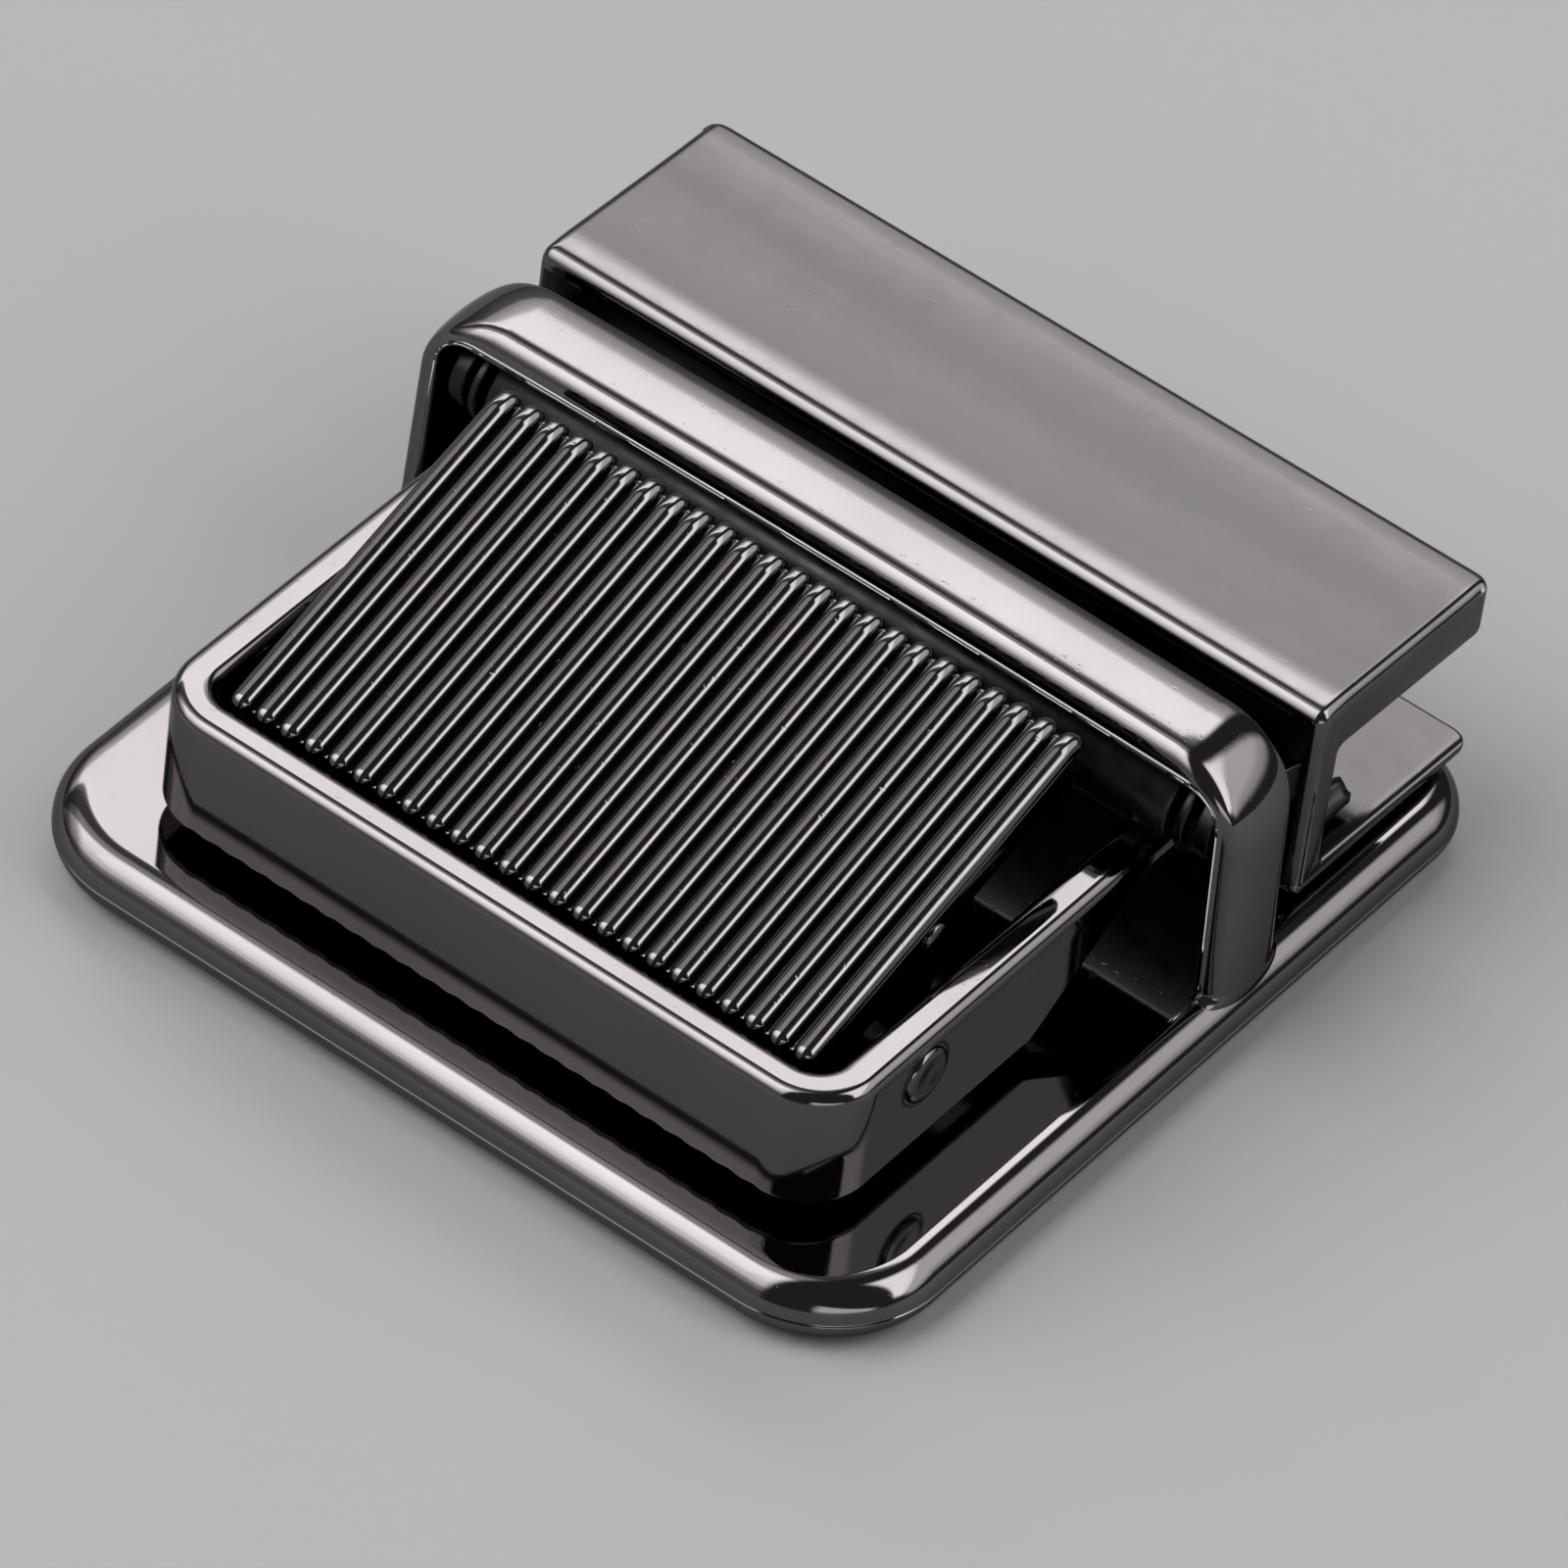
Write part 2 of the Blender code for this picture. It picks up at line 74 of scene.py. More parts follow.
# Down its legs the section is at most a half ellipse: this much of its height, plus this much over its middle
ARCH_ROUND_BASE = 0.42
ARCH_ROUND_RISE = 0.56

# The arch's outer side from front to rear: how steeply it falls towards the rear, in degrees
ARCH_CROWN = (
    (0.0, -80.0), (0.22, -54.0), (0.58, -21.0), (0.8, -5.5), (0.98, -3.8),
    (2.4, -0.3), (2.85, 3.5), (3.3, 10.0), (3.58, 24.0), (3.75, 70.0),
)

# Axle line
AXLE_Y = 4.3
AXLE_Z = 9.25
AXLE_R = 0.9
AXLE_HALF_X = 18.3
WASHER_INNER_X = 15.66
WASHER_OUTER_X = 16.06
WASHER_BORE_R = 1.2
WASHER_R = 1.72

# Lever frame
FRAME_HALF_X = 15.36
FRAME_FRONT_Y = -16.5
FRAME_CORNER_R = 2.7
FRAME_WALL = 1.6
FRAME_BOTTOM_Z = 3.55
FRAME_TOP_Z = 8.7
FRAME_EDGE_R = 0.5
FRAME_FOOT_R = 0.15
FRAME_NOTCH = 0.035
FRAME_BARREL_R = 1.8
FRAME_BARREL_BEVEL = 0.15

# Behind the relief's start the side walls' foot rises, up to its end
RELIEF_START_Y = -4.2
RELIEF_END_Y = 2.0
RELIEF_END_Z = 7.6

# The wall's section is drawn this tall, and then fitted between its foot and its top
SECTION_TALL = 9.0

# Ribbed lever
RIB_COUNT = 24
RIB_PITCH = 1.09
RIB_R = 0.45
RIB_FRONT = (-14.25, 8.5)
RIB_REAR = (0.0, 13.36)
RIB_BEND = 0.75
RIB_BEND_SLOPE = 0.34
RIB_BEND_EASE = 0.3
SLAB_DROP = 0.12
SLAB_THICK = 1.45
BOSS_YZ = (-7.6, 9.55)
BOSS_R = 0.62

# Lever pin
PIN_Y = -10.85
PIN_Z = 6.9
PIN_R = 1.15
PIN_SHAFT_R = 0.85
PIN_SHAFT_HALF_X = 13.9
PIN_LIP_R = 0.07

# Strap clamp
CLAMP_HALF_X = 17.65
CLAMP_FRONT_Y = 8.35
CLAMP_WEB = 1.5
CLAMP_TOP_Z = 11.85
CLAMP_TOP_THICK = 2.3
CLAMP_TOP_REAR_Y = 18.85
CLAMP_BOTTOM_Z = 2.9
CLAMP_BOTTOM_THICK = 0.9
CLAMP_BOTTOM_REAR_Y = 19.2
CLAMP_PLAN_R = 0.8
CLAMP_END_R = 0.5
CLAMP_FALL = math.tan(math.radians(2.5))
CLAMP_DRAW_START_Y = 15.0
CLAMP_TEETH = 3
CLAMP_TOOTH_PITCH = 1.1
CLAMP_TOOTH_HEIGHT = 0.55
CLAMP_TEETH_HALF_X = 16.4
EAR_MID_X = 16.73
EAR_HALF = 0.37
EAR_R = 1.55

# The clamp's top from front to rear: how steeply it falls towards the rear, in degrees
CLAMP_CROWN = (
    (0.0, -84.0), (0.14, -54.0), (0.42, -20.0), (0.62, -5.0), (0.78, -3.2), (1.2, -0.5),
    (1.9, 2.9), (7.0, 2.7), (9.4, 1.2), (10.1, 4.0), (10.35, 30.0), (10.5, 80.0),
)


def link(obj):
    """Put an object in the scene."""
    bpy.context.scene.collection.objects.link(obj)
    return obj


def mesh_piece(name, points, faces, material, body, stands_for=()):
    """One finished piece: points in millimetres, faces as index tuples, riding on a body."""
    mesh = bpy.data.meshes.new(name)
    mesh.from_pydata((np.asarray(points) * MM).tolist(), [], faces)
    mesh.update()
    mesh.shade_smooth()
    mesh.materials.append(material)
    obj = link(bpy.data.objects.new(name, mesh))
    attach(obj, body)
    if stands_for:
        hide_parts(*stands_for)
    return obj


def grid_faces(rows, cols, wrap_rows=False, wrap_cols=False, start=0):
    """Quads over a grid of points numbered row by row."""
    i = np.arange(rows if wrap_rows else rows - 1)
    j = np.arange(cols if wrap_cols else cols - 1)
    i, j = np.meshgrid(i, j, indexing="ij")
    i2 = (i + 1) % rows
    j2 = (j + 1) % cols
    quads = np.stack([i * cols + j, i * cols + j2, i2 * cols + j2, i2 * cols + j], axis=-1)
    return (quads.reshape(-1, 4) + start).tolist()


def tube(rings):
    """Points and faces of a closed body from its rings, an array (rings, points, 3).

    Consecutive rings are joined by quads and the first and last ring are closed by flat caps.
    A ring that runs counter-clockwise seen against the way the rings go gives outward faces.
    """
    rings = np.asarray(rings)
    count, size = rings.shape[:2]
    faces = grid_faces(count, size, wrap_cols=True)
    faces.append(list(range(size))[::-1])
    faces.append([(count - 1) * size + k for k in range(size)])
    return rings.reshape(-1, 3), faces


def joined(parts):
    """Several (points, faces) as one."""
    points = []
    faces = []
    base = 0
    for part_points, part_faces in parts:
        points.append(part_points)
        faces += [[index + base for index in face] for face in part_faces]
        base += len(part_points)
    return np.concatenate(points), faces


def arc(center, radius, start_deg, end_deg, steps):
    """Points on a circle's arc, both ends included."""
    angle = np.radians(np.linspace(start_deg, end_deg, steps + 1))
    return np.stack([center[0] + radius * np.cos(angle), center[1] + radius * np.sin(angle)], axis=1)


def held(points, closed=True):
    """The same line, with extra points just inside both ends of each long straight span."""
    points = np.asarray(points, float)
    following = np.roll(points, -1, axis=0)
    result = []
    last = len(points) if closed else len(points) - 1
    for k in range(len(points)):
        result.append(points[k])
        if k >= last:
            continue
        span = following[k] - points[k]
        length = np.linalg.norm(span)
        if length > LONG_SPAN:
            step = span / length * HOLD
            result += [points[k] + step, following[k] - step]
    return np.array(result)


def rounded_line(corners, steps=6, closed=True):
    """A line of straight spans with round corners, from (a, b, radius) corners.

    Each corner is cut back along both spans by radius * tan(half its turn), and an arc fills the gap.
    """
    pts = np.array([c[:2] for c in corners], float)
    result = []
    for k, (a, b, radius) in enumerate(corners):
        at = np.array([a, b], float)
        if radius <= 0.0 or (not closed and k in (0, len(corners) - 1)):
            result.append(at[None, :])
            continue
        before = pts[k - 1] - at
        after = pts[(k + 1) % len(pts)] - at
        before /= np.linalg.norm(before)
        after /= np.linalg.norm(after)
        half = math.acos(np.clip(before @ after, -1.0, 1.0)) / 2.0
        middle = before + after
        middle /= np.linalg.norm(middle)
        center = at + middle * radius / math.sin(half)
        first = at + before * radius / math.tan(half) - center
        turn = math.pi - 2.0 * half
        sign = 1.0 if before[0] * after[1] - before[1] * after[0] < 0.0 else -1.0
        angle = sign * np.linspace(0.0, turn, steps + 1)
        cos, sin = np.cos(angle), np.sin(angle)
        spoke = np.stack([first[0] * cos - first[1] * sin, first[0] * sin + first[1] * cos], axis=1)
        result.append(center + spoke)
    return np.concatenate(result)


def plan_outline(half_x, half_y, front_radius, rear_radius, steps=24):
    """A rectangle with round corners, counter-clockwise from above.

    Each corner is a quarter circle, and a held point follows and precedes it on the straight sides.
    """
    sides = []
    for sign_x, sign_y, start in ((1, -1, -90), (1, 1, 0), (-1, 1, 90), (-1, -1, 180)):
        radius = front_radius if sign_y < 0 else rear_radius
        center = (sign_x * (half_x - radius), sign_y * (half_y - radius))
        turn = arc(center, radius, start, start + 90, steps)
        before = np.array([math.cos(math.radians(start - 90)), math.sin(math.radians(start - 90))])
        after = np.array([math.cos(math.radians(start + 180)), math.sin(math.radians(start + 180))])
        sides.append(np.concatenate([[turn[0] + before * HOLD], turn, [turn[-1] + after * HOLD]]))
    return np.concatenate(sides)


def turned(y, z, stations, sides=48):
    """A body turned about a line along X, from (x, radius) stations."""
    angle = np.linspace(0.0, FULL_TURN, sides, endpoint=False)
    rings = [
        np.stack([np.full(sides, x), y + r * np.cos(angle), z + r * np.sin(angle)], axis=1)
        for x, r in stations
    ]
    return tube(rings)


def crowned(slopes, step=0.06):
    """A surface line as (along, height) from (along, degrees of fall) stations.

    The fall angle is read between the stations. The height is the running sum of its tangent, highest at 0.
    """
    slopes = np.array(slopes)
    pieces = [np.linspace(a, b, max(int((b - a) / step), 5), endpoint=False)
              for a, b in zip(slopes[:-1, 0], slopes[1:, 0])]
    along = np.concatenate(pieces + [slopes[-1:, 0]])
    fall = np.tan(np.radians(np.interp(along, slopes[:, 0], slopes[:, 1])))
    drop = np.concatenate([[0.0], np.cumsum((fall[1:] + fall[:-1]) / 2.0 * np.diff(along))])
    return np.stack([along, drop.min() - drop], axis=1)


def extruded(profile, stations, share=1.0):
    """A (y, z) outline carried along X, from (x, inset) stations.

    At each station the outline is moved inwards along its own normals by the inset, which rounds its ends.
    A share for each of its points says how much of the inset that point takes.
    """
    profile = np.asarray(profile, float)
    along = np.roll(profile, -1, axis=0) - np.roll(profile, 1, axis=0)
    along /= np.linalg.norm(along, axis=1)[:, None]
    inward = np.stack([-along[:, 1], along[:, 0]], axis=1) * np.broadcast_to(share, len(profile))[:, None]
    rings = []
    for x, inset in stations:
        moved = profile + inward * inset
        rings.append(np.concatenate([np.full((len(moved), 1), x), moved], axis=1))
    return tube(rings)


def rounded_ends(half, radius, steps=5):
    """(x, inset) stations of a piece from -half to half whose end edges are rounded."""
    angle = np.radians(np.linspace(0.0, 90.0, steps + 1))
    low = [(-half + radius * (1.0 - math.cos(a)), radius * (1.0 - math.sin(a))) for a in angle]
    high = [(-x, inset) for x, inset in low[::-1]]
    return low + [(low[-1][0] + HOLD, 0.0), (high[0][0] - HOLD, 0.0)] + high


# ---------------------------------------------------------------- finishes


def plating(name, color, roughness, wave=6e-6, pits=1.2e-6, streak=0.0, spread=0.06):
    """Bright gunmetal plating over a polished casting.

    Tone: two near shades of the colour, mixed by a slow noise. Roughness: a finer noise between two values.
    Relief: long casting waves, plus small pits; streak adds polishing lines along X.
    """
    mat = bpy.data.materials.new(name)
    mat.use_nodes = True
    nodes = mat.node_tree.nodes
    links = mat.node_tree.links
    shader = nodes["Principled BSDF"]
    shader.inputs["Metallic"].default_value = 1.0
    shader.inputs["Specular Tint"].default_value = (0.6, 0.6, 0.6, 1.0)
    where = nodes.new("ShaderNodeTexCoord").outputs["Object"]

    def noise(scale, detail, stretch=None):
        source = where
        if stretch is not None:
            mapping = nodes.new("ShaderNodeMapping")
            mapping.inputs["Scale"].default_value = stretch
            links.new(where, mapping.inputs["Vector"])
            source = mapping.outputs["Vector"]
        node = nodes.new("ShaderNodeTexNoise")
        node.inputs["Scale"].default_value = scale
        node.inputs["Detail"].default_value = detail
        links.new(source, node.inputs["Vector"])
        return node.outputs["Fac"]

    def ranged(value, from_low, from_high, low, high):
        node = nodes.new("ShaderNodeMapRange")
        limits = {"From Min": from_low, "From Max": from_high, "To Min": low, "To Max": high}
        for key, number in limits.items():
            node.inputs[key].default_value = number
        links.new(value, node.inputs["Value"])
        return node.outputs["Result"]

    ramp = nodes.new("ShaderNodeValToRGB")
    ramp.color_ramp.elements[0].position = 0.3
    ramp.color_ramp.elements[1].position = 0.7
    ramp.color_ramp.elements[0].color = (*[c * (1.0 - spread) for c in color], 1.0)
    ramp.color_ramp.elements[1].color = (*[c * (1.0 + spread) for c in color], 1.0)
    tone = noise(140.0, 3.0) if streak == 0.0 else noise(90.0, 4.0, (0.25, 4.0, 4.0))
    links.new(tone, ramp.inputs["Fac"])
    links.new(ramp.outputs["Color"], shader.inputs["Base Color"])
    gloss = ranged(noise(900.0, 4.0), 0.3, 0.7, roughness * 0.75, roughness * 1.35)
    links.new(gloss, shader.inputs["Roughness"])

    previous = None
    reliefs = [(noise(170.0, 1.0), wave), (ranged(noise(3200.0, 2.0), 0.66, 0.74, 1.0, 0.0), pits)]
    if streak > 0.0:
        reliefs.append((noise(1500.0, 3.0, (0.012, 1.0, 1.0)), streak))
    for height, depth in reliefs:
        bump = nodes.new("ShaderNodeBump")
        bump.inputs["Strength"].default_value = 1.0
        bump.inputs["Distance"].default_value = depth
        links.new(height, bump.inputs["Height"])
        if previous is not None:
            links.new(previous.outputs["Normal"], bump.inputs["Normal"])
        previous = bump
    links.new(previous.outputs["Normal"], shader.inputs["Normal"])
    return mat


plate_finish = plating("plate_gunmetal", (0.120, 0.113, 0.114), 0.055)
arch_finish = plating("arch_gunmetal", (0.128, 0.121, 0.123), 0.06, wave=4e-6)
frame_finish = plating("frame_gunmetal", (0.120, 0.113, 0.115), 0.055)
lever_finish = plating("lever_gunmetal", (0.118, 0.113, 0.115), 0.07, wave=2e-6, pits=2.5e-6)
clamp_finish = plating("clamp_gunmetal", (0.112, 0.107, 0.110), 0.12, wave=3e-6, streak=1.6e-6, spread=0.08)
# Blackened teeth; on the rings round the pin ends the same dark is painted shade
teeth_and_seat_shade_finish = plating("blackened_teeth_and_seat_shade", (0.045, 0.042, 0.040), 0.35, pits=6e-6)
# Blackened steel for the axle, washers, ears and barrel; on the clamp web's front the same dark is painted
# shade
black_and_shade_finish = plating("blackened_steel_and_web_shade", (0.030, 0.028, 0.028), 0.32, pits=4e-6)
pin_finish = plating("turned_pin", (0.100, 0.096, 0.095), 0.12)
spring_finish = plating("spring_wire", (0.16, 0.15, 0.15), 0.22)


# ---------------------------------------------------------------- face plate


def face_plate():
    """The plaque: an edge profile of (inset, height), rounded towards both faces, carried round the plan."""
    profile = np.concatenate([
        [[PLATE_FACE_R + 2.0, 0.0], [PLATE_FACE_R + HOLD, 0.0]],
        arc((PLATE_FACE_R, PLATE_FACE_R), PLATE_FACE_R, 270, 180, 14),
        arc((PLATE_BACK_R, PLATE_THICK - PLATE_BACK_R), PLATE_BACK_R, 180, 90, 16),
        [[PLATE_BACK_R + HOLD, PLATE_THICK], [PLATE_BACK_R + 2.0, PLATE_THICK]],
    ])
    rings = []
    for inset, z in profile:
        line = plan_outline(PLATE_HALF_X - inset, PLATE_HALF_Y - inset,
                            PLATE_FRONT_CORNER_R - inset, PLATE_REAR_CORNER_R - inset)
        rings.append(np.concatenate([line, np.full((len(line), 1), z)], axis=1))
    points, faces = tube(rings)
    return mesh_piece("face_plate_shell", points, faces, plate_finish, "plate_body",
                      ["face_plate"])


# ---------------------------------------------------------------- keeper arch


def arch_section():
    """The band's section as (y, height over its inner side): flat inside, crowned outside by its slopes."""
    inside = rounded_line([(ARCH_REAR_Y, 0.3, 0.0), (ARCH_REAR_Y, 0.0, 0.06), (ARCH_FRONT_Y, 0.0, 0.06),
                           (ARCH_FRONT_Y, 0.2, 0.0)], 4, closed=False)
    crown = crowned(ARCH_CROWN) + [ARCH_FRONT_Y, ARCH_THICK]
    return np.concatenate([inside, crown])


def keeper_arch():
    """The arch: its section carried along a U, up one leg, over and down the other.

    The inner side follows a U with tight corners and the outer side one with wide corners, and both legs
    lean in as they rise. Each ring runs from the one to the other, its heights stretched to the distance.
    Over the top both are bowed by a parabola. Down the legs the section turns half round, by a half ellipse
    over its middle, and at the feet it widens along Y by a round fillet.
    """
    half, top = ARCH_INNER_HALF_X, ARCH_INNER_TOP_Z
    legs = np.array([ARCH_FOOT_Z, 2.6, 2.7, 2.8, 2.9, 3.0, 3.5, 6.0])
    bend_turn = np.linspace(0.0, math.pi / 2.0, 29)

    def u_line(half_x, top_z, radius):
        up = np.stack([np.full(len(legs), half_x), legs], axis=1)
        first = [[half_x, top_z - radius - HOLD]]
        bend = arc((half_x - radius, top_z - radius), radius, 0, 90, 28)
        over_x = (half_x - radius - HOLD) * np.cos(np.linspace(0.0, math.pi, 61))
        over = np.stack([over_x, np.full(61, top_z)], axis=1)
        right = np.concatenate([up, first, bend])
        line = np.concatenate([right, over, right[::-1] * [-1.0, 1.0]])
        risen = np.clip((line[:, 1] - PLATE_THICK) / (top - PLATE_THICK), 0.0, 1.1)
        line[:, 0] *= 1.0 - ARCH_LEAN / half * risen
        return line

    inner = u_line(half, top, ARCH_INNER_R)
    outer = u_line(half + ARCH_THICK, top + ARCH_THICK, ARCH_OUTER_R)
    side = np.concatenate([np.ones(len(legs) + 1), np.cos(bend_turn)])
    roundness = np.concatenate([side, np.zeros(61), side[::-1]])
    bow_half = half + ARCH_THICK - ARCH_OUTER_R
    bow = ARCH_BOW * np.clip(1.0 - (outer[:, 0] / bow_half) ** 2, 0.0, None)
    span = outer - inner
    section = arch_section()
    middle = (ARCH_FRONT_Y + ARCH_REAR_Y) / 2.0
    reach = np.clip(1.0 - (inner[:, 1] - PLATE_THICK) / ARCH_FOOT_FLARE, 0.0, 1.0)
    flare = ARCH_FOOT_FLARE * (1.0 - np.sqrt(1.0 - reach**2))
    widen = 1.0 + flare / (ARCH_REAR_Y - middle)
    height = section[:, 1] / ARCH_THICK
    off_middle = (section[:, 0] - middle) / (ARCH_REAR_Y - middle + 0.02)
    half_round = np.minimum(height, ARCH_ROUND_BASE + ARCH_ROUND_RISE * np.sqrt(1.0 - off_middle**2))
    height = height[None, :] + (half_round - height)[None, :] * roundness[:, None]
    rings = np.empty((len(inner), len(section), 3))
    rings[:, :, 0] = inner[:, 0, None] + span[:, 0, None] * height
    rings[:, :, 1] = middle + (section[None, :, 0] - middle) * widen[:, None]
    rings[:, :, 2] = inner[:, 1, None] + span[:, 1, None] * height + bow[:, None]
    points, faces = tube(rings)
    return mesh_piece("keeper_arch_band", points, faces, arch_finish, "plate_body",
                      ["keeper_arch"])


# ---------------------------------------------------------------- lever frame


def frame_box():
    """The frame's wall: a section with rounded edges carried along a U, from its left rear end to its right.

    The foot rises evenly behind the relief's start, and under the front bar it rises and falls as a cosine
    of x, which makes a row of shallow notches. Each ring's lower points follow that foot, and its upper
    points keep the frame's top.
    """
    half, front, corner = FRAME_HALF_X, FRAME_FRONT_Y, FRAME_CORNER_R
    line = rounded_line([(-half, AXLE_Y, 0), (-half, front, corner), (half, front, corner),
                         (half, AXLE_Y, 0)], 24, closed=False)
    line = held(line, closed=False)
    # More rows along the straight spans, for the relief and the notches
    rows = []
    for start, end in zip(line[:-1], line[1:]):
        length = np.linalg.norm(end - start)
        crosses_front = abs(end[0] - start[0]) > 10.0
        count = int(length / (0.09 if crosses_front else 0.5)) if length > 2.0 else 1
        rows.append(start + (end - start) * np.linspace(0, 1, max(count, 1), endpoint=False)[:, None])
    path = np.concatenate(rows + [line[-1:]])

    # Straight inwards from each wall, and towards the corner's centre in a corner
    on_left = np.abs(path[:, 0] + half) < 1e-6
    on_right = np.abs(path[:, 0] - half) < 1e-6
    on_front = np.abs(path[:, 1] - front) < 1e-6
    corner_x = np.sign(path[:, 0]) * (half - corner)
    inward = np.stack([corner_x, np.full(len(path), front + corner)], axis=1) - path
    inward[on_left] = (1.0, 0.0)
    inward[on_right] = (-1.0, 0.0)
    inward[on_front] = (0.0, 1.0)
    inward /= np.linalg.norm(inward, axis=1)[:, None]

    share = np.clip((path[:, 1] - RELIEF_START_Y) / (RELIEF_END_Y - RELIEF_START_Y), 0.0, 1.0)
    foot = FRAME_BOTTOM_Z + share * (RELIEF_END_Z - FRAME_BOTTOM_Z)
    notch = FRAME_NOTCH * (1.0 - np.cos(FULL_TURN * path[:, 0] / RIB_PITCH))
    foot = foot + np.where(on_front, notch, 0.0)

    section = held(rounded_line([
        (0.0, 0.0, FRAME_FOOT_R),
        (0.0, SECTION_TALL, FRAME_EDGE_R),
        (FRAME_WALL, SECTION_TALL, FRAME_EDGE_R),
        (FRAME_WALL, 0.0, FRAME_FOOT_R),
    ], 8))
    across, height = section[:, 0], section[:, 1]
    rings = np.empty((len(path), len(section), 3))
    rings[:, :, :2] = path[:, None, :] + inward[:, None, :] * across[None, :, None]
    rings[:, :, 2] = np.where(height < SECTION_TALL / 2.0, foot[:, None] + height,
                              FRAME_TOP_Z - (SECTION_TALL - height))
    points, faces = tube(rings[:, ::-1])
    return mesh_piece("lever_frame", points, faces, frame_finish, "frame_body",
                      ["cam_frame"])


def frame_barrel():
    """The frame's hinge barrel: a turned body round the axle with a small bevel at each end."""
    reach = FRAME_HALF_X - 0.02
    bevel, radius = FRAME_BARREL_BEVEL, FRAME_BARREL_R
    points, faces = turned(AXLE_Y, AXLE_Z, [(-reach, radius - bevel), (bevel - reach, radius),
                                            (reach - bevel, radius), (reach, radius - bevel)], 72)
    return mesh_piece("frame_hinge_barrel", points, faces, black_and_shade_finish, "frame_body")


def pin_ends():
    """The pin: a turned shaft, and on each side wall a flat disc whose rim is a quarter ellipse."""
    turn = np.radians(np.linspace(0, 90, 9))
    rim = [(0.02 + 0.22 * math.sin(a), PIN_R - 0.3 * (1.0 - math.cos(a))) for a in turn]
    stations = [(-0.3, PIN_R)] + rim + [(0.235, PIN_R - 0.5), (0.2, 0.3)]
    parts = []
    for sign in (-1.0, 1.0):
        ends = [(sign * (FRAME_HALF_X - 0.04 + x), r) for x, r in stations]
        parts.append(turned(PIN_Y, PIN_Z, ends if sign > 0 else ends[::-1]))
    shaft = turned(PIN_Y, PIN_Z, [(-PIN_SHAFT_HALF_X, PIN_SHAFT_R), (PIN_SHAFT_HALF_X, PIN_SHAFT_R)])
    points, faces = joined([*parts, shaft])
    return mesh_piece("lever_pin_ends", points, faces, pin_finish, "frame_body", ["lever_pin"])


def pin_rings():
    """The raised lip round each pin end, dark as painted shade of the pin's seat groove: a ring of round
    section, a circle carried round a circle.
    """
    parts = []
    angle = np.linspace(0.0, FULL_TURN, 64, endpoint=False)
    around = np.linspace(0.0, FULL_TURN, 12, endpoint=False)
    radius = PIN_R + 0.13 + PIN_LIP_R * np.cos(around)
    for sign in (-1.0, 1.0):
        x = sign * (FRAME_HALF_X - 0.03) + PIN_LIP_R * np.sin(around) * sign
        grid = np.stack([
            np.broadcast_to(x[None, :], (64, 12)),
            PIN_Y + radius[None, :] * np.cos(angle)[:, None],
            PIN_Z + radius[None, :] * np.sin(angle)[:, None],
        ], axis=-1)
        if sign < 0:
            grid = grid[:, ::-1]
        parts.append((grid.reshape(-1, 3), grid_faces(64, 12, wrap_rows=True, wrap_cols=True)))
    points, faces = joined(parts)
    # The ring's dark finish is painted shade of the seat round each pin end
    return mesh_piece("pin_seat_shade_rings", points, faces, teeth_and_seat_shade_finish, "frame_body")


def torsion_spring():
    """The return spring: wire along a helix round the pin, with a straight leg at each end."""
    turns, coil_r, wire_r, half = 5, 1.4, 0.2, 2.375
    t = np.linspace(0.0, 1.0, 40 * turns + 1)
    angle = -math.pi / 2.0 + FULL_TURN * turns * t
    helix = np.stack([
        -half + 2 * half * t,
        PIN_Y + coil_r * np.cos(angle),
        PIN_Z + coil_r * np.sin(angle),
    ], axis=1)
    lead = np.linspace(2.5, 0.15, 8)[:, None] * np.array([[0.0, -1.0, 0.0]]) + helix[0]
    tail = np.linspace(0.15, 2.5, 8)[:, None] * np.array([[0.0, 1.0, 0.0]]) + helix[-1]
    path = np.concatenate([lead, helix, tail])
    along = np.gradient(path, axis=0)
    along /= np.linalg.norm(along, axis=1)[:, None]
    side = np.array([1.0, 0.0, 0.0]) - along * along[:, :1]
    side /= np.linalg.norm(side, axis=1)[:, None]
    other = np.cross(along, side)
    around = np.linspace(0.0, FULL_TURN, 12, endpoint=False)
    rings = path[:, None] + wire_r * (side[:, None] * np.cos(around)[None, :, None]
                                      + other[:, None] * np.sin(around)[None, :, None])
    points, faces = tube(rings)
    return mesh_piece("return_spring", points, faces, spring_finish, "frame_body",
                      ["lever_spring"])


# ---------------------------------------------------------------- ribbed lever


def rib(x, start, run, up, length):
    """One rib: a capsule, which is a circle swept along a line with a half ball at each end.

    Over its last stretch the line bends down: it falls by the slope times how far past the bend it is,
    less a hyperbolic tangent of that, so that it starts level and ends straight.
    """
    ball = np.radians(np.linspace(4.0, 90.0, 9))
    stations = [(-RIB_R * math.cos(a), RIB_R * math.sin(a)) for a in ball]
    stations += [(HOLD, RIB_R), (length - RIB_BEND - HOLD, RIB_R)]
    stations += [(length - RIB_BEND * share, RIB_R) for share in np.linspace(1.0, 0.04, 13)]
    stations += [(length + RIB_R * math.cos(a), RIB_R * math.sin(a)) for a in ball[::-1]]
    around = np.linspace(0.0, FULL_TURN, 28, endpoint=False)
    side = np.array([1.0, 0.0, 0.0])
    rings = []
    for along, radius in stations:
        past = max(along - (length - RIB_BEND), 0.0)
        eased = past - RIB_BEND_EASE * math.tanh(past / RIB_BEND_EASE)
        center = start + run * along + side * x - up * RIB_BEND_SLOPE * eased
        rings.append(center + radius * (np.cos(around)[:, None] * side + np.sin(around)[:, None] * up))
    return tube(np.array(rings)[:, ::-1])


